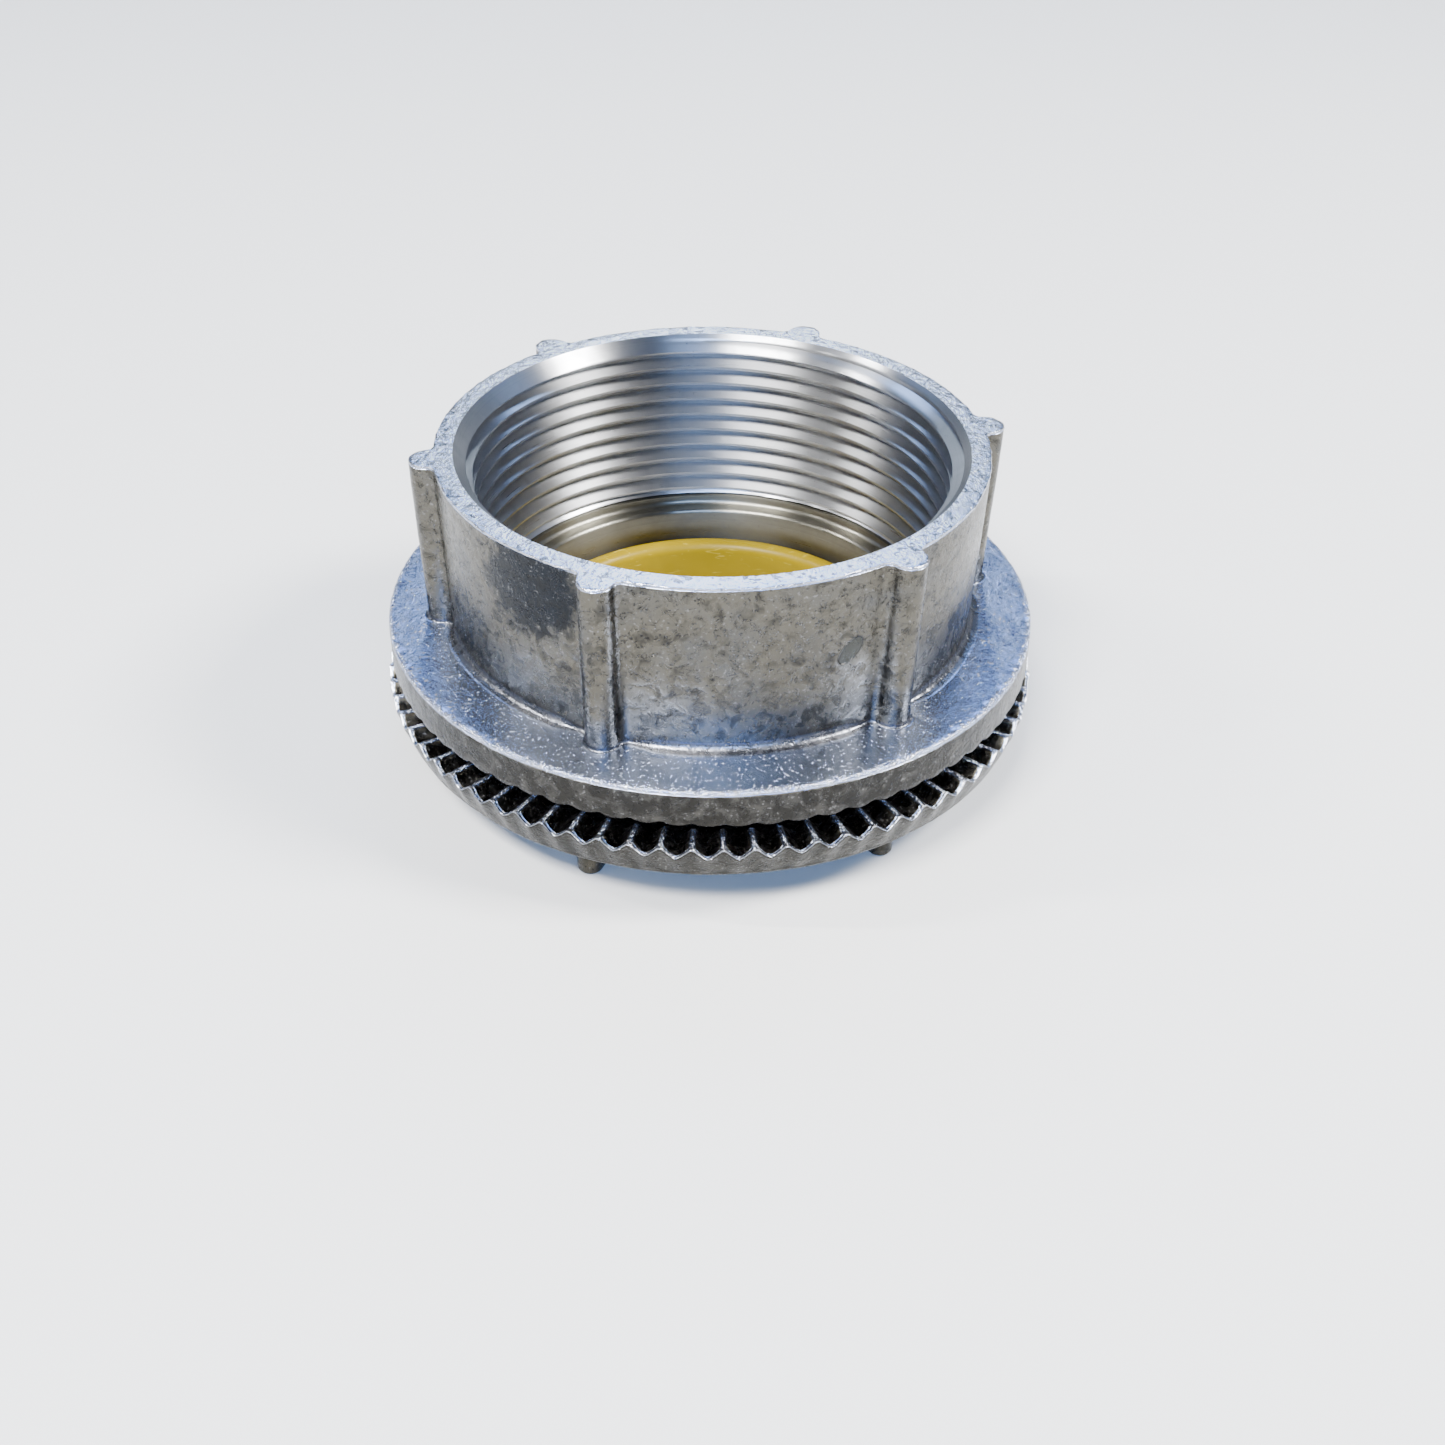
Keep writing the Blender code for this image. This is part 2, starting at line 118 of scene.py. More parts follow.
# Where the studio's pale walls end and its ceiling starts: place on the fade, and colour
WALLS_END, CEILING_START = (0.10, (0.86, 0.89, 0.95, 1)), (0.22, (0.082, 0.102, 0.15, 1))


class HubZone(IntEnum):
    """Stretches of the hub's outline, from the rim out and down, under and up the bore."""

    RIM, WALL, FOOT, FLANGE_TOP, CORNER, EDGE, LOW_EDGE = range(7)
    TEETH, HIDDEN, THROAT, STOP, RELIEF, SOCKET = range(7, 13)


class NutZone(IntEnum):
    """Stretches of the locknut's outline, from the teeth out and down, and up the bore."""

    RAMP, TEETH, CREST_END, SIDE, LOW_CORNER, UNDER, COLLAR, BORE, LAND = range(9)


def length(name, description, default):
    return bpy.props.FloatProperty(
        name=name, description=description, default=default, min=0, precision=5, unit="LENGTH"
    )


def angle(name, description, degrees):
    return bpy.props.FloatProperty(
        name=name, description=description, default=math.radians(degrees), subtype="ANGLE", unit="ROTATION"
    )


def colour(name, description, default):
    return bpy.props.FloatVectorProperty(
        name=name, description=description, default=default, size=3, min=0, max=1, subtype="COLOR"
    )


class HubSizes(bpy.types.PropertyGroup):
    """Sizes of the hub casting."""

    flange_radius: length("Flange radius", "Axis to the clamping flange's edge", HUB_HIGH.x)
    flange_thickness: length("Flange thickness", "Underside to top of the clamping flange", 4.8 * MM)
    socket_height: length("Socket height", "Flange top to rim", 21.45 * MM)
    rim_radius: length("Rim radius", "Axis to the outside of the rim", 32.9 * MM)
    lean: length("Wall lean", "How far the rim stands out past the foot of the wall", 0.6 * MM)
    mouth_radius: length("Mouth radius", "Axis to the inner edge of the rim", 30.6 * MM)
    fillet: length("Wall fillet", "Radius between wall and flange", 0.9 * MM)
    rib_width: length("Rib width", "Across one rib", 4.0 * MM)
    rib_projection: length("Rib projection", "How far a rib stands out of the wall", 2.8 * MM)
    rib_fillet: length("Rib fillet", "Radius between rib and wall", 1.1 * MM)
    rib_phase: angle("Rib angle", "Angle of the first rib", 2.5)
    notch_depth: length("Notch depth", "Depth of the scallops under the flange's edge", 0.5 * MM)
    stop_depth: length("Stop depth", "Flange top to the conduit stop", 2.6 * MM)
    relief_radius: length("Relief radius", "Axis to the plain bore over the stop", 27.944 * MM)
    groove_width: length("Groove width", "Across the sealing ring's groove", 3.6 * MM)
    throat_radius: length("Throat radius", "Axis to the bore of the nipple", 26.0 * MM)
    nipple_radius: length("Nipple radius", "Axis to the nipple under its thread", 28.1 * MM)


class ThreadSizes(bpy.types.PropertyGroup):
    """Sizes of the three screw threads."""

    pitch: length("Pitch", "Advance in one turn, 11 1/2 turns to the inch", 25.4 * MM / 11.5)
    socket_root: length("Socket root", "Axis to the socket thread's root at the rim", 30.0 * MM)
    socket_depth: length("Socket depth", "Root to crest in the socket", 1.4 * MM)
    socket_length: length("Socket length", "Rim to the end of the socket thread", 22.4 * MM)
    nipple_root: length("Nipple root", "Axis to the nipple thread's root", 28.6 * MM)
    nut_root: length("Nut root", "Axis to the locknut thread's root", 29.9 * MM)
    straight_depth: length("Straight depth", "Root to crest on nipple and locknut", 1.0 * MM)


class LocknutSizes(bpy.types.PropertyGroup):
    """Sizes of the locknut."""

    radius: length("Radius", "Axis to the toothed edge", NUT_HIGH.x - 0.05 * MM)
    draft: length("Edge draft", "How far the edge slopes in towards the feet", 1.1 * MM)
    flange_underside: length("Flange underside", "Feet to the underside of the flange", 5.7 * MM)
    land_drop: length("Land drop", "Tooth crest to the flat inside the teeth", 1.55 * MM)
    tooth_depth: length("Tooth depth", "Crest to valley at the edge", 1.35 * MM)
    tooth_inner_radius: length("Tooth inner radius", "Axis to the inner end of the teeth", 36.2 * MM)
    tooth_phase: angle("Tooth angle", "Angle of the first tooth crest", 1.0)
    collar_radius: length("Collar radius", "Axis to the outside of the collar", 32.7 * MM)
    collar_rise: length("Collar rise", "Feet to the end of the collar", 1.2 * MM)
    lug_width: length("Lug width", "Across one driving lug", 3.1 * MM)
    lug_reach: length("Lug reach", "Axis to the nose of a lug", 35.9 * MM)


class LinerSizes(bpy.types.PropertyGroup):
    """Sizes of the throat liner."""

    radius: length("Radius", "Axis to the outside of the sleeve", 25.7 * MM)
    bore_radius: length("Bore radius", "Axis to the inside of the sleeve", 23.0 * MM)
    foot_thickness: length("Foot thickness", "Underside to top of the foot", 1.2 * MM)


class Finishes(bpy.types.PropertyGroup):
    """Colours of the pieces and of the stage."""

    zinc: colour("Cast zinc", "Bare die-cast zinc of the hub", (0.092, 0.090, 0.086))
    nut_zinc: colour("Locknut zinc", "Bare die-cast zinc of the locknut", (0.074, 0.072, 0.066))
    cut_zinc: colour("Cut zinc", "Freshly machined zinc", (0.40, 0.41, 0.43))
    # A darker, tan copy of the cut zinc: painted shade deep in the bore and a painted yellow reflection of
    # the liner
    shaded_bore_zinc: colour("Bore zinc", "Machined zinc deep in the bore", (0.17, 0.165, 0.14))
    rubber: colour("Rubber", "Sealing ring", (0.018, 0.018, 0.020))
    plastic: colour("Plastic", "Throat liner", (0.19, 0.132, 0.0))
    floor: colour("Floor", "Pale floor under the hub", (0.53, 0.53, 0.52))


# ---------- mesh helpers


def chain(shape, points, closed=True):
    """Edges in the XZ plane through points of radius and height."""
    verts = [shape.verts.new((radius, 0, height)) for radius, height in points]
    for first, second in zip(verts, verts[1:] + verts[:closed]):
        shape.edges.new((first, second))
    return verts


def zoned_chain(shape, zones):
    """One loop through the zones' points. Returns the layers of zone numbers and of wear."""
    zone_of = shape.verts.layers.int.new("zone")
    edge_of = shape.verts.layers.float.new("edge")
    verts = chain(shape, [point for zone in zones for point in zone])
    labels = [index for index, zone in enumerate(zones) for _ in zone]
    for vert, label in zip(verts, labels):
        vert[zone_of] = label
    return zone_of, edge_of


def run(start, end, steps):
    """Points from start up to, and without, end."""
    (x, z), (end_x, end_z) = start, end
    return [(x + (end_x - x) * i / steps, z + (end_z - z) * i / steps) for i in range(steps)]


def bend(centre, radius, start, end, steps):
    """Points along an arc between two angles in degrees, both ends included."""
    angles = [math.radians(start + (end - start) * i / steps) for i in range(steps + 1)]
    return [(centre[0] + radius * math.cos(a), centre[1] + radius * math.sin(a)) for a in angles]


def turn_full(shape, steps):
    """Spins the chain an eighth of the way round the bore, then doubles that three times."""
    doublings = 3
    share = 2**doublings
    bmesh.ops.spin(
        shape, geom=shape.verts[:] + shape.edges[:], cent=(0, 0, 0), axis=(0, 0, 1),
        angle=2 * math.pi / share, steps=steps // share,
    )
    double(shape, doublings, turn=2 * math.pi / share)
    bmesh.ops.remove_doubles(shape, verts=shape.verts, dist=WELD)


def double(shape, times, turn=0.0, shift=0.0):
    """Copies everything turned and shifted along the bore, then both of those, and so on."""
    for i in range(times):
        verts = verts_of(bmesh.ops.duplicate(shape, geom=everything(shape)))
        rotate(shape, turn * 2**i, verts=verts)
        bmesh.ops.translate(shape, verts=verts, vec=(0, 0, shift * 2**i))


def rotate(shape, turn, axis="Z", verts=None):
    matrix = Matrix.Rotation(turn, 3, axis)
    bmesh.ops.rotate(shape, verts=verts or shape.verts, cent=(0, 0, 0), matrix=matrix)


def everything(shape):
    return shape.verts[:] + shape.edges[:] + shape.faces[:]


def verts_of(made):
    return [item for item in made["geom"] if isinstance(item, bmesh.types.BMVert)]


def polar(radius, turn, height):
    return Vector((radius * math.cos(turn), radius * math.sin(turn), height))


def finish_mesh(shape, name, body, materials, replaced, sharp=55):
    """Closes the work on a mesh: faces outwards and smooth, on an object that rides on its body."""
    bmesh.ops.remove_doubles(shape, verts=shape.verts, dist=WELD)
    bmesh.ops.recalc_face_normals(shape, faces=shape.faces)
    mesh = bpy.data.meshes.new(name)
    shape.to_mesh(mesh)
    shape.free()
    mesh.shade_smooth()
    mesh.set_sharp_from_angle(angle=math.radians(sharp))
    for material in materials:
        mesh.materials.append(material)
    piece = bpy.data.objects.new(name, mesh)
    bpy.context.scene.collection.objects.link(piece)
    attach(piece, body)
    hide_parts(replaced)


def smoothstep(low, high, value):
    share = min(1, max(0, (value - low) / (high - low)))
    return share * share * (3 - 2 * share)


def grain(place, size, seed=0.0):
    """Smooth noise from -1 to 1 whose bumps are about that size."""
    return noise.noise(place / size + Vector((seed, seed * 1.7, seed * 0.6)))


# ---------- shader helpers


def operation(kind, swapped=False):
    """A Python operator that adds a Math node of that kind."""

    def apply(value, *others):
        values = (*others, value) if swapped else (value, *others)
        return value.finish.node("ShaderNodeMath", {"operation": kind}, dict(enumerate(values)))

    return apply


class Value:
    """A socket that Python arithmetic can be written with."""

    def __init__(self, finish, socket):
        self.finish = finish
        self.socket = socket

    __add__, __radd__ = operation("ADD"), operation("ADD", swapped=True)
    __sub__, __rsub__ = operation("SUBTRACT"), operation("SUBTRACT", swapped=True)
    __mul__, __pow__, __abs__ = operation("MULTIPLY"), operation("POWER"), operation("ABSOLUTE")


class Finish:
    """A material put together node by node around its own shader."""

    def __init__(self, name, metallic=0.0):
        self.material = bpy.data.materials.new(name)
        self.material.use_nodes = True
        self.tree = self.material.node_tree
        self.shader = self.tree.nodes["Principled BSDF"]
        self.shader.inputs["Metallic"].default_value = metallic

    def node(self, kind, settings=None, sockets=None, output=0):
        """Adds a node: its settings first, then the values or links of its sockets."""
        made = self.tree.nodes.new(kind)
        for name, setting in (settings or {}).items():
            setattr(made, name, setting)
        for name, value in (sockets or {}).items():
            self.plug(made.inputs[name], value)
        return Value(self, made.outputs[output])

    def plug(self, socket, value):
        if isinstance(value, Value):
            self.tree.links.new(value.socket, socket)
        else:
            socket.default_value = value

    def place(self, **moves):
        """Object coordinates seen from a frame that is moved, turned and stretched."""
        sockets = {"Vector": self.node("ShaderNodeTexCoord", output="Object"), **moves}
        return self.node("ShaderNodeMapping", {"vector_type": "TEXTURE"}, sockets)

    def noise(self, size, detail=3.0, distortion=0.0, stretch=(1, 1, 1), turn=(0, 0, 0), roughness=0.5):
        """Noise from 0 to 1 whose bumps are about that size."""
        sockets = {
            "Vector": self.place(Rotation=turn, Scale=stretch), "Scale": 1 / size, "Detail": detail,
            "Distortion": distortion, "Roughness": roughness,
        }
        return self.node("ShaderNodeTexNoise", {}, sockets)

    def ramp(self, value, low, high):
        """0 below low, 1 above high, smooth between."""
        sockets = {"Value": value, "From Min": low, "From Max": high}
        return self.node("ShaderNodeMapRange", {"interpolation_type": "SMOOTHSTEP"}, sockets)

    def mix(self, share, first, second):
        """Colours mixed by a share."""
        sockets = {0: share}
        for index, value in ((6, first), (7, second)):
            sockets[index] = value if isinstance(value, Value) else (*value, 1)
        return self.node("ShaderNodeMix", {"data_type": "RGBA"}, sockets, output=2)

    def coat(self, colour, *layers):
        """Lays shares of other colours over a colour, one after another."""
        for share, shade in layers:
            colour = self.mix(share, colour, shade)
        return colour

    def oval(self, centre, size, tilt):
        """Distance from an oval mark on the wall, 1 at its edge. centre is radius, turn and height."""
        near = self.place(
            Location=tuple(polar(*centre)), Rotation=(tilt, 0, centre[1]),
            Scale=(MARK_REACH, size[0] / 2, size[1] / 2),
        )
        return self.node("ShaderNodeVectorMath", {"operation": "LENGTH"}, {0: near}, output="Value")

    def attribute(self, name):
        return self.node("ShaderNodeAttribute", {"attribute_name": name}, output="Fac")

    def radius_and_height(self):
        """Distance from the bore axis, and height over the feet."""
        where = self.node("ShaderNodeTexCoord", output="Object")
        parts = self.node("ShaderNodeSeparateXYZ", {}, {0: where})
        x, y, z = (Value(self, parts.socket.node.outputs[i]) for i in range(3))
        return (x * x + y * y) ** 0.5, z

    def bump(self, height, strength):
        """A bumpy normal. height counts in millimetres."""
        sockets = {"Height": height, "Distance": 1.0 * MM, "Strength": strength}
        return self.node("ShaderNodeBump", {}, sockets)

    def apply(self, **sockets):
        """Plugs values into the shader's own sockets, named with underscores for spaces."""
        for name, value in sockets.items():
            self.plug(self.shader.inputs[name.replace("_", " ")], value)
        return self.material


def tinted(base, *shares):
    """A colour scaled by one share, or by a share for each channel."""
    return tuple(c * k for c, k in zip(base, shares if len(shares) == 3 else shares * 3))


def cast_zinc(name, base, marked=False):
    """Bare die-cast zinc: mottled, hammered and scratched, bare where worn, with painted sheen and shade.

    The attribute "edge" says how worn a place is and where light is painted: painted shade below 0, 0 on
    walls, a half on the flange's top and 1 on edges, with a painted bluish sky sheen from about 0.1 up.
    The marked casting has a pin mark and a painted dark reflection.
    """
    finish = Finish(name, metallic=1.0)
    # Marks of many sizes, from wide stains to pits
    blotch = finish.noise(9 * MM, detail=3, distortion=0.8)
    tint = finish.noise(6 * MM, detail=4, distortion=0.5, turn=(0.7, 0.2, 0.4))
    patch = finish.noise(1.7 * MM, detail=5, distortion=0.5, roughness=0.6)
    fine = finish.noise(0.42 * MM, detail=4, roughness=0.6)
    worm = finish.noise(0.9 * MM, detail=2.5, distortion=1.2, stretch=(1, 1, 2.4), turn=(0.8, 0.8, 0))
    worm_breaks = finish.noise(0.9 * MM, detail=2)
    scratch = (1 - finish.ramp(abs(worm - 0.5), 0.006, 0.028)) * finish.ramp(worm_breaks, 0.46, 0.54)
    pit = finish.ramp(finish.noise(0.62 * MM, detail=1.5), 0.68, 0.76)

    # Where wear, painted shade with patchy grime, and small glints show
    edge = finish.attribute("edge")
    worn = finish.ramp(edge + (fine - 0.5) * 1.3, 0.62, 0.85)
    # Painted shade where edge is below 0, on sides, undersides and between teeth; patchy grime on the walls
    grime_and_painted_shade = (1 - finish.ramp(edge + (patch - 0.5) * 1.2, -0.35, 0.10)) * (1 - finish.ramp(edge, 0.0, 0.1))
    glint = finish.ramp(fine, 0.58, 0.68) * finish.ramp(patch, 0.46, 0.58)

    cool, warm = tinted(base, 0.90, 0.97, 1.08), tinted(base, 1.08, 1.02, 0.86)
    dark, grime_and_shade_colour, bright = tinted(base, 0.35), tinted(base, 0.16), tinted(base, 3.7, 4.5, 6.8)
    # Where the painted sky sheen lies: the flange's top, the rim, the foot a little, and other edges
    flat = finish.ramp(edge, 0.1, 0.45)
    rubbed = 1 - flat * 0.7
    metal = finish.coat(
        finish.mix(finish.ramp(tint, 0.40, 0.95), warm, cool),
        # Painted reflection: a bright bluish sky sheen over the top faces and edges
        (flat, bright),
        (finish.ramp(blotch, 0.42, 0.78) * 0.25 * rubbed, dark),
        (finish.ramp(patch, 0.45, 0.85) * 0.28 * rubbed, dark),
    )
    if marked:
        # Painted dark reflection: a bluish-black oval patch on the front-left wall
        dark_reflection = finish.oval(*DARK_REFLECTION)
        shade = 1 - finish.ramp(dark_reflection + (patch - 0.5) * 1.1, 0.60, 1.0)
        metal = finish.mix(shade * 0.95, metal, tinted(base, 0.10, 0.13, 0.19))
    metal = finish.coat(
        metal,
        # Painted shade on sides, undersides and valleys, with patchy grime on the walls
        (grime_and_painted_shade * 0.92, grime_and_shade_colour),
        # Painted highlights: lighter smears over the painted shade
        (grime_and_painted_shade * finish.ramp(patch, 0.40, 0.75) * 0.40, tinted(base, 1.1)),
        (glint * 0.25, (0.55, 0.55, 0.56)),
        (finish.ramp(fine, 0.52, 0.75) * 0.25 * rubbed, dark),
        (scratch * 0.65 * rubbed, tinted(base, 0.18)),
        (pit * 0.35 * rubbed, tinted(base, 0.15)),
    )
    dents = patch * 0.14 - scratch * 0.05 - pit * 0.05
    height = dents * (1 - flat * 0.75) + blotch * 0.14 * rubbed + fine * 0.028
    height = height + worn * (patch * 0.13 + fine * 0.03)
    if marked:
        pin = finish.oval(*PIN_MARK)
        inside = 1 - finish.ramp(pin, 0.90, 0.98)
        rim = (1 - finish.ramp(pin, 1.0, 1.12)) * finish.ramp(pin, 0.84, 0.94)
        metal = finish.coat(metal, (inside * 0.75, tinted(base, 0.34, 0.38, 0.38)), (rim * 0.70, dark))
        height = height * (1 - inside * 0.6) - inside * 0.05
    nick = finish.ramp(finish.noise(0.8 * MM, detail=3, distortion=0.6), 0.56, 0.64)
    bare = finish.mix(nick * 0.85, (0.52, 0.54, 0.60), (0.13, 0.14, 0.17))
    metal = finish.mix(worn * 0.92, metal, bare)
    rough = 0.23 + finish.ramp(patch, 0.35, 0.70) * 0.12 * rubbed + (fine - 0.5) * 0.14
    return finish.apply(Base_Color=metal, Roughness=rough, Normal=finish.bump(height, 0.9))


def machined_zinc(name, base):
    """Zinc cut by a tap or die: fine tool lines round the bore over a bright surface."""
    finish = Finish(name, metallic=1.0)
    radius, height = finish.radius_and_height()
    across = finish.node("ShaderNodeCombineXYZ", {}, {0: radius, 1: height, 2: 0.0})
    lines = finish.node("ShaderNodeTexNoise", {}, {"Vector": across, "Scale": 1 / (0.16 * MM), "Detail": 3.0})
    chatter = finish.noise(3.2 * MM, detail=3, distortion=0.5)
    speck = finish.noise(0.5 * MM, detail=3)
    metal = finish.coat(
        base,
        (finish.ramp(chatter, 0.4, 0.75) * 0.35, tinted(base, 0.62)),
        (finish.ramp(lines, 0.5, 0.8) * 0.25, tinted(base, 0.45)),
        (finish.ramp(speck, 0.68, 0.8) * 0.5, tinted(base, 0.3)),
    )
    rough = 0.25 + lines * 0.07 + finish.ramp(chatter, 0.4, 0.8) * 0.05
    normal = finish.bump(lines * 0.003 + speck * 0.003 + chatter * 0.012, 0.8)
    finish.apply(Anisotropic=0.9, Anisotropic_Rotation=0.25)
    return finish.apply(Base_Color=metal, Roughness=rough, Normal=normal)


def black_rubber(name, base):
    """Moulded rubber: matt black with a grey bloom and fine grain."""
    finish = Finish(name)
    bloom = finish.noise(3.0 * MM, detail=4, distortion=0.5)
    skin = finish.noise(0.22 * MM, detail=3)
    shade = finish.mix(finish.ramp(bloom, 0.45, 0.8) * 0.6, base, tinted(base, 3.2))
    rough = 0.55 + bloom * 0.25 + skin * 0.08
    normal = finish.bump(skin * 0.03 + bloom * 0.04, 0.6)
    finish.apply(Specular_IOR_Level=0.35)
    return finish.apply(Base_Color=shade, Roughness=rough, Normal=normal)


def yellow_plastic(name, base):
    """Moulded thermoplastic: even yellow with soft flow marks and a few scuffs."""
    finish = Finish(name)
    flow = finish.noise(9 * MM, detail=2, distortion=0.8, stretch=(1, 1, 0.4))
    skin = finish.noise(0.30 * MM, detail=3)
    scuff = finish.ramp(finish.noise(1.4 * MM, detail=4, distortion=1.5, stretch=(2, 2, 0.5)), 0.62, 0.72)
    shade = finish.mix(finish.ramp(flow, 0.3, 0.7), tinted(base, 0.90), base)
    shade = finish.mix(scuff * 0.18, shade, (0.75, 0.6, 0.12))
    rough = 0.32 + skin * 0.10 + scuff * 0.2
    normal = finish.bump(skin * 0.012 + flow * 0.05, 0.6)
    finish.apply(Specular_IOR_Level=0.15)
    return finish.apply(Base_Color=shade, Roughness=rough, Normal=normal)


def pale_floor(name, base):
    """Matt pale paper with hardly any tooth."""
    finish = Finish(name)
    tooth = finish.noise(1.5 * MM, detail=3)
    shade = finish.mix(tooth * 0.05, base, tinted(base, 0.9))
    return finish.apply(Base_Color=shade, Roughness=0.85)


# ---------- shapes of the hub


def rib_point(sizes, index, last, wall):
    """Plan of the wall at one column, from 0 on the rib's nose to last midway between ribs.

    The rib lies along +X, and wall is the wall's radius.
    """
    half, fillet = sizes.rib_width / 2, sizes.rib_fillet
    if index < NOSE_STEPS:
        turn = math.pi / 2 * index / NOSE_STEPS
        return wall + sizes.rib_projection - half + half * math.cos(turn), half * math.sin(turn)
    index, last = index - NOSE_STEPS, last - NOSE_STEPS
    if index < FILLET_STEPS:
        turn = -math.pi / 2 - math.pi / 2 * index / FILLET_STEPS
        foot = math.sqrt(wall**2 - (half + fillet) ** 2)
        return foot + fillet * (1 + math.cos(turn)), half + fillet * (1 + math.sin(turn))
    index, last = index - FILLET_STEPS, last - FILLET_STEPS
    start, end = math.asin((half + fillet) / wall), math.pi / RIB_COUNT
    turn = start + (end - start) * index / last
    return wall * math.cos(turn), wall * math.sin(turn)


def hub_levels(sizes):
    """Heights of the rim, of the flange's top and of the flange's underside."""
    rim_z = HUB_HIGH.z
    top_z = rim_z - sizes.socket_height
    return rim_z, top_z, top_z - sizes.flange_thickness


def hub_outline(sizes, nut):
    """Points of radius and height for each HubZone."""
    rim_z, top_z, under_z = hub_levels(sizes)
    stop_z = top_z - sizes.stop_depth
    low_z = HUB_LOW.z
    wall, edge = sizes.rim_radius, sizes.flange_radius
    throat, relief = sizes.throat_radius, sizes.relief_radius
    fillet_radius, fillet_z = wall + sizes.fillet, top_z + sizes.fillet
    corner, stop_corner, hollow = 0.35 * MM, 0.5 * MM, 0.6 * MM  # radii
    chamfer = 0.5 * MM  # at the nipple's end
    groove_out, groove_z = RING_HIGH.x + RING_GAP, RING_HIGH.z + RING_GAP
    groove_in = groove_out - sizes.groove_width

    zones = {
        HubZone.RIM: run((sizes.mouth_radius, rim_z), (wall - 0.25 * MM, rim_z), 5) + [
            (wall - 0.25 * MM, rim_z), (wall - 0.06 * MM, rim_z - 0.02 * MM), (wall, rim_z - 0.16 * MM),
        ],
        HubZone.WALL: run((wall, rim_z - WALL_START), (wall, fillet_z), 42),
        HubZone.FOOT: bend((fillet_radius, fillet_z), sizes.fillet, 180, 270, 7),
        HubZone.FLANGE_TOP: run((fillet_radius + 0.5 * MM, top_z), (edge - corner, top_z), 11),
        HubZone.CORNER: bend((edge - corner, top_z - corner), corner, 90, 0, 4),
        HubZone.EDGE: run((edge, top_z - corner - 0.4 * MM), (edge, under_z + LOW_BREAK), 7),
        HubZone.LOW_EDGE: [
            (edge, under_z + LOW_BREAK), (edge - 0.06 * MM, under_z + 0.06 * MM), (edge - LOW_BREAK, under_z),
        ],
        HubZone.TEETH: run((edge - 0.7 * MM, under_z), (nut.tooth_inner_radius - 0.5 * MM, under_z), 6),
        HubZone.HIDDEN: [
            (groove_out, under_z), (groove_out, groove_z), (groove_in, groove_z), (groove_in, under_z),
            (sizes.nipple_radius, under_z), (sizes.nipple_radius, low_z + chamfer),
            (sizes.nipple_radius - chamfer, low_z), (throat + 0.3 * MM, low_z), (throat, low_z + 0.3 * MM),
        ],
        HubZone.THROAT: run((throat, low_z + 1.5 * MM), (throat, stop_z - stop_corner), 7),
        HubZone.STOP: bend((throat + stop_corner, stop_z - stop_corner), stop_corner, 180, 90, 4)
        + bend((relief - hollow, stop_z + hollow), hollow, 270, 360, 4),
        HubZone.RELIEF: [(relief, stop_z + 1.2 * MM)],
        HubZone.SOCKET: [(relief + 1.4 * MM, stop_z + 1.7 * MM), (sizes.mouth_radius, stop_z + 3.0 * MM)],
    }
    return [zones[zone] for zone in HubZone]


def hub_casting_shape(sizes, nut):
    """The cast body: rim, ribbed wall, flange with scalloped edge, nipple and throat."""
    columns = TOOTH_COUNT * COLUMNS_PER_TOOTH
    shape = bmesh.new()
    zone_of, edge_of = zoned_chain(shape, hub_outline(sizes, nut))
    turn_full(shape, columns)
    follow_ribs(shape, zone_of, sizes, columns)
    cut_notches(shape, zone_of, sizes, nut)
    rotate(shape, sizes.rib_phase)
    shape.normal_update()
    weather_casting(shape, zone_of, edge_of)
    for face in shape.faces:
        in_bore = all(HubZone.THROAT <= vert[zone_of] <= HubZone.SOCKET for vert in face.verts)
        face.material_index = int(in_bore)
    return shape


def follow_ribs(shape, zone_of, sizes, columns):
    """Moves the round wall, with the rim and flange top beside it, out to the ribs."""
    rim_z, top_z, _ = hub_levels(sizes)
    wall, edge, fillet, mouth = sizes.rim_radius, sizes.flange_radius, sizes.fillet, sizes.mouth_radius
    wall_start = rim_z - WALL_START
    sector = columns // RIB_COUNT
    span = 2 * math.pi / columns
    for vert in shape.verts:
        radius, height, label = vert.co.xy.length, vert.co.z, vert[zone_of]
        if label > HubZone.FLANGE_TOP:
            continue
        turn = math.atan2(vert.co.y, vert.co.x)
        column = round(turn / span)
        from_rib = (column + sector // 2) % sector - sector // 2
        here = wall - sizes.lean + sizes.lean * smoothstep(top_z, rim_z, height)
        x, y = rib_point(sizes, abs(from_rib), sector // 2, here)
        on_wall = Vector((x, math.copysign(y, from_rib), 0))
        on_wall.rotate(Matrix.Rotation(turn - from_rib * span, 3, "Z"))
        out = radius - wall
        # The fillet at the foot is tight round a rib and opens out along the wall.
        tight = 0.35 + 0.65 * smoothstep(14, 22, abs(from_rib))
        if label == HubZone.WALL:
            share = max(0, (wall_start - height) / (wall_start - top_z - fillet))
            height -= share * fillet * (1 - tight)
        elif label == HubZone.FOOT:
            height = top_z + (height - top_z) * tight
            out *= tight
        elif label == HubZone.FLANGE_TOP:
            left = (edge - wall - out) / (edge - wall - fillet)
            out -= left * fillet * (1 - tight)
        if out < 0:
            place = polar(mouth, turn, 0).lerp(on_wall, 1 + out / (wall - mouth))
        else:
            place = on_wall.lerp(polar(edge, turn, 0), out / (edge - wall))
        vert.co = (place.x, place.y, height)


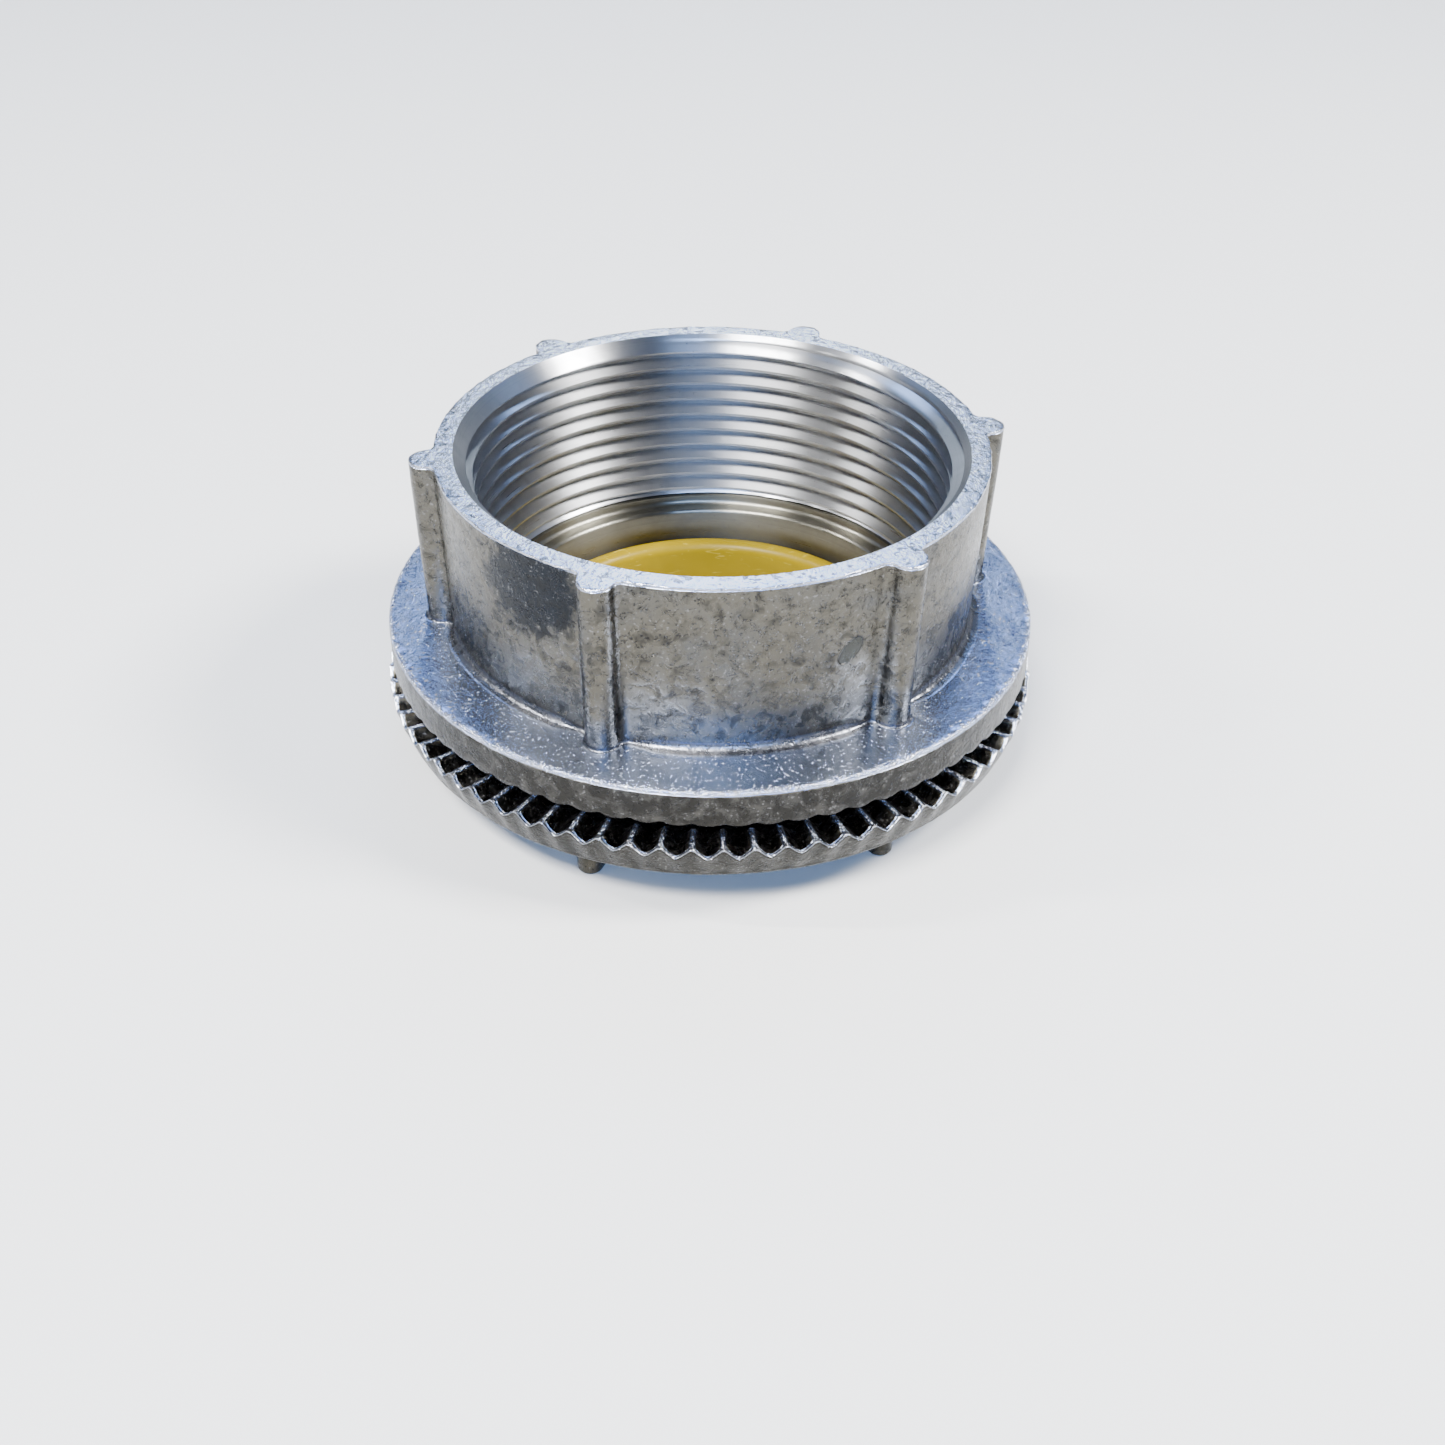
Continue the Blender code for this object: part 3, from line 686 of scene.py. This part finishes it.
def cut_notches(shape, zone_of, sizes, nut):
    """Scallops the flange's lower edge, with a notch for each tooth of the locknut."""
    under_z = hub_levels(sizes)[2]
    edge = sizes.flange_radius
    for vert in shape.verts:
        label, rise = vert[zone_of], vert.co.z - under_z - LOW_BREAK
        on_edge = label == HubZone.EDGE and rise < NOTCH_RISE
        if on_edge or label in (HubZone.LOW_EDGE, HubZone.TEETH):
            turn = math.atan2(vert.co.y, vert.co.x)
            notch = 1 - abs(math.sin((turn + sizes.rib_phase - nut.tooth_phase) * TOOTH_COUNT / 2)) ** 0.75
            share = 1 - rise / NOTCH_RISE if on_edge else 1
            reach = smoothstep(nut.tooth_inner_radius, edge, vert.co.xy.length)
            uneven = 1 + 0.5 * grain(polar(edge, turn, 0), 4 * MM, 31)
            vert.co.z += sizes.notch_depth * uneven * notch * share * reach


def weather_casting(shape, zone_of, edge_of):
    """Cast waviness and dents, a ragged burr round the rim and nicks in the flange's edge."""
    rim_z = HUB_HIGH.z
    # How worn each stretch is; this also sets its painted sky sheen and its painted shade
    wear = {
        HubZone.RIM: EDGE_WEAR, HubZone.FOOT: FOOT_WEAR_AND_SHEEN, HubZone.FLANGE_TOP: FLAT_WEAR_AND_SHEEN,
        HubZone.CORNER: CORNER_WEAR, HubZone.EDGE: PAINTED_SHADE, HubZone.LOW_EDGE: PAINTED_SHADE,
    }
    moves = []
    for vert in shape.verts:
        place, label = vert.co, vert[zone_of]
        vert[edge_of] = wear.get(label, 0.0)
        if label > HubZone.LOW_EDGE:
            moves.append(Vector((0, 0, 0)))
            continue
        wave = grain(place, 6 * MM) * 0.035 * MM + grain(place, 1.6 * MM, 3) * 0.018 * MM
        dent = -0.06 * MM * smoothstep(0.42, 0.7, grain(place, 1.3 * MM, 9))
        move = vert.normal * (wave + dent)
        if label == HubZone.RIM:
            outer = smoothstep(31.6 * MM, 32.6 * MM, place.xy.length)
            out = Vector((place.x, place.y, 0)).normalized()
            burr = max(0, grain(place, 0.7 * MM, 5)) * 0.24 * MM
            burr += max(0, grain(place, 2.5 * MM, 7)) * 0.12 * MM
            chip = 0.05 * MM * abs(grain(place, 0.6 * MM, 11))
            move = out * burr * outer - Vector((0, 0, chip * outer))
        elif label == HubZone.WALL and rim_z - place.z < 1.0 * MM:
            move *= 0.5
        elif label == HubZone.CORNER:
            nick = smoothstep(0.15, 0.6, grain(place, 0.9 * MM, 13)) * 0.14 * MM
            move = -vert.normal * nick
        moves.append(move)
    for vert, move in zip(shape.verts, moves):
        vert.co += move


# ---------- threads


def threaded_sleeve(pitch, root, depth, crest_width, bottom, top, back, limit, taper=0.0, turn=0.0):
    """A ring with a helical thread on one side, its back buried in the metal it is cut from.

    A negative depth makes an internal thread. limit takes a radius and a height and returns the
    radius that chamfers and run-outs allow there.
    """
    flank = abs(depth) * math.tan(math.radians(30))
    root_width = pitch - crest_width - 2 * flank
    crest = root + depth
    half = crest_width / 2
    points = [(crest, 0.0)]
    points += run((crest, -half), (root, -half - flank), FLANK_STEPS)
    points += run((root, -half - flank), (root, -half - flank - root_width), 2)
    points += run((root, -half - flank - root_width), (crest, half - pitch), FLANK_STEPS)
    points += [(crest, half - pitch), (crest, -pitch)]
    doublings = math.ceil(math.log2((top - bottom) / pitch + 2))
    shape = bmesh.new()
    chain(shape, [(radius, top + pitch + height) for radius, height in points], closed=False)
    bmesh.ops.spin(
        shape, geom=shape.verts[:] + shape.edges[:], cent=(0, 0, 0), axis=(0, 0, 1),
        dvec=(0, 0, -pitch / THREAD_STEPS), angle=-2 * math.pi, steps=THREAD_STEPS,
    )
    double(shape, doublings, shift=-pitch)
    rotate(shape, turn)
    bmesh.ops.remove_doubles(shape, verts=shape.verts, dist=0.005 * MM)
    for vert in shape.verts:
        radius = vert.co.xy.length
        wanted = limit(radius + taper * (vert.co.z - top), vert.co.z)
        vert.co.xy *= wanted / radius
    for height, normal in ((top, (0, 0, 1)), (bottom, (0, 0, -1))):
        bmesh.ops.bisect_plane(
            shape, geom=everything(shape), dist=0.0001 * MM,
            plane_co=(0, 0, height), plane_no=normal, clear_outer=True,
        )
    close_sleeve(shape, bottom, top, back)
    return shape


def close_sleeve(shape, bottom, top, back):
    """Carries the sleeve's two ends to a buried back wall and joins them there."""
    inset = 0.8 * MM
    loops = []
    for height, away in ((top, -inset), (bottom, inset)):
        ends = [
            edge for edge in shape.edges
            if edge.is_boundary and all(abs(vert.co.z - height) < 0.01 * MM for vert in edge.verts)
        ]
        made = bmesh.ops.extrude_edge_only(shape, edges=ends)
        for vert in verts_of(made):
            vert.co.xy *= back / vert.co.xy.length
            vert.co.z += away
        edges = (item for item in made["geom"] if isinstance(item, bmesh.types.BMEdge))
        loops += [edge for edge in edges if edge.is_boundary]
    bmesh.ops.bridge_loops(shape, edges=loops)


def add_thread(scene, name, body, slot, node, *sleeve, **extra):
    """A freshly cut thread, in a material named after it. The sleeve's values come after its pitch."""
    shape = threaded_sleeve(scene.thread_sizes.pitch, *sleeve, **extra)
    material = machined_zinc(name.replace("thread", "cut_zinc"), scene.hub_finishes.cut_zinc)
    finish_mesh(shape, name, body, [material], node, sharp=40)


# ---------- shapes of the locknut


def nut_outline(sizes, threads):
    """Points of radius and height for each NutZone, with the thread's place left plain."""
    crest_z, low_z = NUT_HIGH.z, sizes.flange_underside
    land_z = crest_z - sizes.land_drop
    outer, inner, collar = sizes.radius, sizes.tooth_inner_radius, sizes.collar_radius
    low_outer = outer - sizes.draft
    bore = threads.nut_root + 0.55 * MM
    corner, fillet, foot, ramp = 0.6 * MM, 0.8 * MM, 0.4 * MM, 0.6 * MM
    rise = sizes.collar_rise
    zones = {
        NutZone.RAMP: run((inner, land_z), (inner + ramp, crest_z), 3),
        NutZone.TEETH: run((inner + ramp, crest_z), (outer - 0.12 * MM, crest_z), 7),
        NutZone.CREST_END: [(outer - 0.12 * MM, crest_z), (outer - 0.02 * MM, crest_z - 0.05 * MM)],
        NutZone.SIDE: run((outer, crest_z - 0.3 * MM), (low_outer, low_z + corner), 9),
        NutZone.LOW_CORNER: bend((low_outer - corner, low_z + corner), corner, 0, -90, 5),
        NutZone.UNDER: run((low_outer - 1.4 * MM, low_z), (collar + 1.0 * MM, low_z), 5)
        + bend((collar + fillet, low_z - fillet), fillet, 90, 180, 4),
        NutZone.COLLAR: run((collar, low_z - 1.2 * MM), (collar, rise + 0.5 * MM), 5)
        + bend((collar - foot, rise + foot), foot, 0, -90, 4),
        NutZone.BORE: [(bore, rise), (bore, land_z)],
        NutZone.LAND: run((bore + 0.6 * MM, land_z), (inner, land_z), 8),
    }
    return [zones[zone] for zone in NutZone]


def locknut_shape(sizes, threads):
    """Toothed flange and collar, cast a little wavy."""
    columns = TOOTH_COUNT * COLUMNS_PER_NUT_TOOTH
    shape = bmesh.new()
    zone_of, edge_of = zoned_chain(shape, nut_outline(sizes, threads))
    turn_full(shape, columns)
    cut_teeth(shape, zone_of, edge_of, sizes, columns)
    rotate(shape, sizes.tooth_phase)
    shape.normal_update()
    moves = []
    for vert in shape.verts:
        wave = grain(vert.co, 5 * MM, 21) * 0.04 * MM + grain(vert.co, 1.4 * MM, 23) * 0.025 * MM
        moves.append(vert.normal * (wave - 0.03 * MM))
    for vert, move in zip(shape.verts, moves):
        if NutZone.TEETH <= vert[zone_of] <= NutZone.COLLAR:
            vert.co += move
    return shape


def cut_teeth(shape, zone_of, edge_of, sizes, columns):
    """Sinks the valleys between the crests, fading down the side, and marks wear and painted shade."""
    crest_z, low_z = NUT_HIGH.z, sizes.flange_underside
    land_z = crest_z - sizes.land_drop
    tooth = 2 * math.pi / TOOTH_COUNT
    for vert in shape.verts:
        radius, label = vert.co.xy.length, vert[zone_of]
        # Painted shade on the underside, its low corner and the flat inside the teeth
        if label in (NutZone.LOW_CORNER, NutZone.UNDER, NutZone.LAND):
            vert[edge_of] = PAINTED_SHADE
        if label > NutZone.SIDE:
            continue
        turn = math.atan2(vert.co.y, vert.co.x)
        column = round(turn / (2 * math.pi) * columns)
        number, index = divmod(column + COLUMNS_PER_NUT_TOOTH // 2, COLUMNS_PER_NUT_TOOTH)
        place, valley = TOOTH_COLUMNS[index]
        fall = (crest_z - vert.co.z) / (crest_z - low_z)
        depth = valley * sizes.tooth_depth * radius / sizes.radius
        follow = 1.0
        if label == NutZone.RAMP:
            depth = min(depth, max(0.0, vert.co.z - land_z))
        elif label == NutZone.SIDE:
            depth *= max(0, 1 - fall)
            follow = 1 - smoothstep(0, 1, fall)
        wanted = (number + place / 2) * tooth
        turn += (wanted - column * tooth / COLUMNS_PER_NUT_TOOTH) * follow
        vert.co = polar(radius, turn, vert.co.z - depth)
        if label == NutZone.CREST_END:
            vert[edge_of] = EDGE_WEAR
        # Painted shade on the side and in the valleys between the teeth
        elif label == NutZone.SIDE or (label == NutZone.TEETH and valley > 0.4):
            vert[edge_of] = PAINTED_SHADE
        elif label == NutZone.TEETH and valley < 0.1:
            vert[edge_of] = TOOTH_WEAR


def lug_shapes(sizes):
    """Six driving lugs with rounded noses and feet, their backs buried in the collar."""
    half = sizes.lug_width / 2
    top = sizes.flange_underside + 0.5 * MM
    nose, back = sizes.lug_reach - half, sizes.collar_radius - 0.4 * MM
    lugs = bmesh.new()
    bmesh.ops.create_circle(lugs, cap_ends=True, segments=32, radius=half)
    for vert in lugs.verts:
        if vert.co.x < 0.01 * MM:
            vert.co.x -= nose - back
        vert.co.x += nose
    raised = verts_of(bmesh.ops.extrude_face_region(lugs, geom=lugs.faces[:]))
    bmesh.ops.translate(lugs, verts=raised, vec=(0, 0, top))
    feet = [edge for edge in lugs.edges if all(vert.co.z < 0.001 * MM for vert in edge.verts)]
    bmesh.ops.bevel(
        lugs, geom=feet, offset=0.5 * MM, offset_type="OFFSET", segments=4, profile=0.5,
        affect="EDGES", material=-1,
    )
    first = everything(lugs)
    for i in range(1, LUG_COUNT):
        copied = verts_of(bmesh.ops.duplicate(lugs, geom=first))
        rotate(lugs, i * 2 * math.pi / LUG_COUNT, verts=copied)
    return lugs


# ---------- stage


def make_floor(scene):
    shape = bmesh.new()
    bmesh.ops.create_circle(shape, cap_ends=True, segments=96, radius=FLOOR_RADIUS)
    mesh = bpy.data.meshes.new("floor")
    shape.to_mesh(mesh)
    shape.free()
    mesh.materials.append(pale_floor("pale_floor", scene.hub_finishes.floor))
    floor = bpy.data.objects.new("floor", mesh)
    scene.collection.objects.link(floor)


def make_lights(scene):
    """Soft boxes that look at the middle of the hub."""
    for name, (around, up, distance, size, power, tint) in LIGHTS.items():
        light = bpy.data.lights.new(name, "AREA")
        light.shape = "RECTANGLE"
        light.size, light.size_y = size
        light.energy = power
        light.color = tint
        lamp = bpy.data.objects.new(name, light)
        turn, lift = math.radians(around) + CAMERA_TURN, math.radians(up)
        away = Vector((math.sin(turn) * math.cos(lift), -math.cos(turn) * math.cos(lift), math.sin(lift)))
        lamp.location = LIGHT_TARGET + away * distance
        lamp.rotation_euler = away.to_track_quat("Z", "Y").to_euler()
        scene.collection.objects.link(lamp)


def make_world(scene):
    """Pale walls round the studio that darken towards a dim bluish ceiling."""
    world = bpy.data.worlds.new("studio")
    world.use_nodes = True
    nodes, links = world.node_tree.nodes, world.node_tree.links
    where = nodes.new("ShaderNodeTexCoord")
    parts = nodes.new("ShaderNodeSeparateXYZ")
    fade = nodes.new("ShaderNodeValToRGB")
    for element, (position, shade) in zip(fade.color_ramp.elements, (WALLS_END, CEILING_START)):
        element.position, element.color = position, shade
    links.new(where.outputs["Generated"], parts.inputs[0])
    links.new(parts.outputs["Z"], fade.inputs["Fac"])
    links.new(fade.outputs["Color"], nodes["Background"].inputs["Color"])
    scene.world = world


def make_camera(scene):
    """A camera that looks down at the hub from the front."""
    lens = bpy.data.cameras.new("camera")
    lens.lens, lens.sensor_width = LENS, SENSOR
    lens.clip_start, lens.clip_end = 0.01, 20
    camera = bpy.data.objects.new("camera", lens)
    facing = Matrix.Rotation(CAMERA_TURN, 3, "Z") @ Matrix.Rotation(math.pi / 2 - CAMERA_LIFT, 3, "X")
    camera.location = CAMERA_TARGET + facing @ Vector((0, 0, CAMERA_DISTANCE))
    camera.rotation_euler = (facing @ CAMERA_AIM.to_matrix()).to_euler()
    scene.collection.objects.link(camera)
    scene.camera = camera


# ---------- operators


class PieceOperator:
    """What the operators share: they read the scene's sizes and finishes."""

    bl_options = {"REGISTER", "UNDO"}

    def execute(self, context):
        self.make(context.scene)
        return {"FINISHED"}


class HUB_OT_casting(PieceOperator, bpy.types.Operator):
    """Make the hub's casting: ribbed socket, clamping flange and nipple."""

    bl_idname = "conduit_hub.casting"
    bl_label = "Hub casting"

    def make(self, scene):
        shape = hub_casting_shape(scene.hub_sizes, scene.locknut_sizes)
        finishes = scene.hub_finishes
        materials = (
            cast_zinc("hub_cast_zinc", finishes.zinc, marked=True),
            # The bore's zinc carries painted shade and a painted yellow reflection of the liner
            machined_zinc("hub_shaded_bore_zinc", finishes.shaded_bore_zinc),
        )
        finish_mesh(shape, "hub_casting", "hub", materials, "hub_body")


class HUB_OT_socket_thread(PieceOperator, bpy.types.Operator):
    """Cut the tapered thread of the conduit socket."""

    bl_idname = "conduit_hub.socket_thread"
    bl_label = "Socket thread"

    def make(self, scene):
        sizes, hub = scene.thread_sizes, scene.hub_sizes
        top = HUB_HIGH.z
        bottom = top - sizes.socket_length

        def limit(radius, height):
            mouth = hub.mouth_radius - (top - height)
            shoulder = hub.relief_radius + max(0, height - bottom)
            return min(max(radius, mouth), shoulder)

        add_thread(
            scene, "socket_thread", "hub", "hub_zinc", "hub_body",
            sizes.socket_root, -sizes.socket_depth, SOCKET_CREST, bottom, top,
            hub.mouth_radius + 0.7 * MM, limit, taper=SOCKET_TAPER,
        )


class HUB_OT_nipple_thread(PieceOperator, bpy.types.Operator):
    """Cut the straight thread of the nipple."""

    bl_idname = "conduit_hub.nipple_thread"
    bl_label = "Nipple thread"

    def make(self, scene):
        sizes, hub = scene.thread_sizes, scene.hub_sizes
        bottom, top = HUB_LOW.z, hub_levels(hub)[2]

        def limit(radius, height):
            neck = sizes.nipple_root + max(0, top - 0.5 * MM - height)
            tip = sizes.nipple_root - 0.6 * MM + max(0, height - bottom)
            return min(radius, neck, tip)

        add_thread(
            scene, "nipple_thread", "hub", "hub_zinc", "hub_body",
            sizes.nipple_root, sizes.straight_depth, STRAIGHT_CREST, bottom, top,
            hub.nipple_radius - 0.8 * MM, limit,
        )


class HUB_OT_locknut(PieceOperator, bpy.types.Operator):
    """Make the locknut's casting with its teeth, collar and driving lugs."""

    bl_idname = "conduit_hub.locknut"
    bl_label = "Locknut"

    def make(self, scene):
        sizes = scene.locknut_sizes
        material = cast_zinc("locknut_cast_zinc", scene.hub_finishes.nut_zinc)
        shape = locknut_shape(sizes, scene.thread_sizes)
        finish_mesh(shape, "locknut_casting", "locknut", [material], "locknut")
        finish_mesh(lug_shapes(sizes), "locknut_lugs", "locknut", [material], "locknut")


class HUB_OT_locknut_thread(PieceOperator, bpy.types.Operator):
    """Cut the locknut's thread, half a pitch off the nipple's so that the two mesh."""

    bl_idname = "conduit_hub.locknut_thread"
    bl_label = "Locknut thread"

    def make(self, scene):
        sizes, nut = scene.thread_sizes, scene.locknut_sizes
        bottom, top = nut.collar_rise, NUT_HIGH.z - nut.land_drop
        pitches = (hub_levels(scene.hub_sizes)[2] - top) / sizes.pitch
        turn = -2 * math.pi * (pitches + 0.5)

        def limit(radius, height):
            end = min(top - height, height - bottom)
            return max(radius, sizes.nut_root + 0.3 * MM - max(0, end))

        add_thread(
            scene, "locknut_thread", "locknut", "locknut_zinc", "locknut",
            sizes.nut_root, -sizes.straight_depth, STRAIGHT_CREST, bottom, top,
            sizes.nut_root + 1.2 * MM, limit, turn=turn,
        )


class HUB_OT_sealing_ring(PieceOperator, bpy.types.Operator):
    """Make the rubber sealing ring with its moulding line."""

    bl_idname = "conduit_hub.sealing_ring"
    bl_label = "Sealing ring"

    def make(self, scene):
        half = (RING_HIGH.z - RING_LOW.z) / 2
        middle = RING_HIGH.x - half
        plain = half - 0.02 * MM  # away from the moulding line
        shape = bmesh.new()
        bmesh.ops.create_circle(shape, segments=32, radius=plain)
        rotate(shape, math.pi / 2, "X")
        for vert in shape.verts:
            if abs(vert.co.z) < 0.01 * MM:
                vert.co.x *= half / plain
        bmesh.ops.translate(shape, verts=shape.verts, vec=(middle, 0, (RING_HIGH.z + RING_LOW.z) / 2))
        turn_full(shape, ROUND_STEPS)
        material = black_rubber("ring_rubber", scene.hub_finishes.rubber)
        finish_mesh(shape, "rubber_ring", "seal_carriage", [material], "sealing_ring")


class HUB_OT_liner(PieceOperator, bpy.types.Operator):
    """Make the yellow liner that keeps wires off the metal throat."""

    bl_idname = "conduit_hub.liner"
    bl_label = "Throat liner"

    def make(self, scene):
        sizes = scene.liner_sizes
        outer, bore, foot_radius = sizes.radius, sizes.bore_radius, LINER_HIGH.x
        foot_z, top_z = LINER_LOW.z, LINER_HIGH.z
        foot_top = foot_z + sizes.foot_thickness
        lip = (outer - bore) / 2
        points = bend((bore + lip, top_z - lip), lip, 180, 0, 16)
        points += run((outer, top_z - lip - 0.6 * MM), (outer, foot_top), 4)
        points += [(outer, foot_top)]
        points += bend((foot_radius - 0.3 * MM, foot_top - 0.3 * MM), 0.3 * MM, 90, 0, 4)
        points += bend((foot_radius - 0.4 * MM, foot_z + 0.4 * MM), 0.4 * MM, 0, -90, 4)
        points += bend((bore + 0.6 * MM, foot_z + 0.6 * MM), 0.6 * MM, 270, 180, 4)
        points += run((bore, foot_z + 1.6 * MM), (bore, top_z - lip), 6)
        shape = bmesh.new()
        chain(shape, points)
        turn_full(shape, ROUND_STEPS)
        material = yellow_plastic("liner_plastic", scene.hub_finishes.plastic)
        finish_mesh(shape, "liner", "hub", [material], "throat_liner")


class HUB_OT_stage(PieceOperator, bpy.types.Operator):
    """Set up the floor, the lights and the camera."""

    bl_idname = "conduit_hub.stage"
    bl_label = "Stage"

    def make(self, scene):
        make_floor(scene)
        make_lights(scene)
        make_world(scene)
        make_camera(scene)


OPERATORS = (
    HUB_OT_stage,
    HUB_OT_casting,
    HUB_OT_socket_thread,
    HUB_OT_nipple_thread,
    HUB_OT_locknut,
    HUB_OT_locknut_thread,
    HUB_OT_sealing_ring,
    HUB_OT_liner,
)
GROUPS = {
    "hub_sizes": HubSizes, "thread_sizes": ThreadSizes, "locknut_sizes": LocknutSizes,
    "liner_sizes": LinerSizes, "hub_finishes": Finishes,
}


class HUB_PT_panel(bpy.types.Panel):
    """Lists the hub's pieces and its sizes and colours."""

    bl_idname = "HUB_PT_panel"
    bl_label = "Conduit hub"
    bl_space_type = "VIEW_3D"
    bl_region_type = "UI"
    bl_category = "Conduit hub"

    def draw(self, context):
        for operator in OPERATORS:
            self.layout.operator(operator.bl_idname)
        for name in GROUPS:
            group = getattr(context.scene, name)
            box = self.layout.box()
            for key in group.bl_rna.properties.keys():
                if key not in ("rna_type", "name"):
                    box.prop(group, key)


def register():
    for made in (*GROUPS.values(), *OPERATORS, HUB_PT_panel):
        bpy.utils.register_class(made)
    for name, group in GROUPS.items():
        setattr(bpy.types.Scene, name, bpy.props.PointerProperty(type=group))


def unregister():
    for name in GROUPS:
        delattr(bpy.types.Scene, name)
    for made in reversed((*GROUPS.values(), *OPERATORS, HUB_PT_panel)):
        bpy.utils.unregister_class(made)


def main():
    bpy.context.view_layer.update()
    register()
    for operator in OPERATORS:
        group, name = operator.bl_idname.split(".")
        getattr(getattr(bpy.ops, group), name)()


if __name__ == "__main__":
    main()
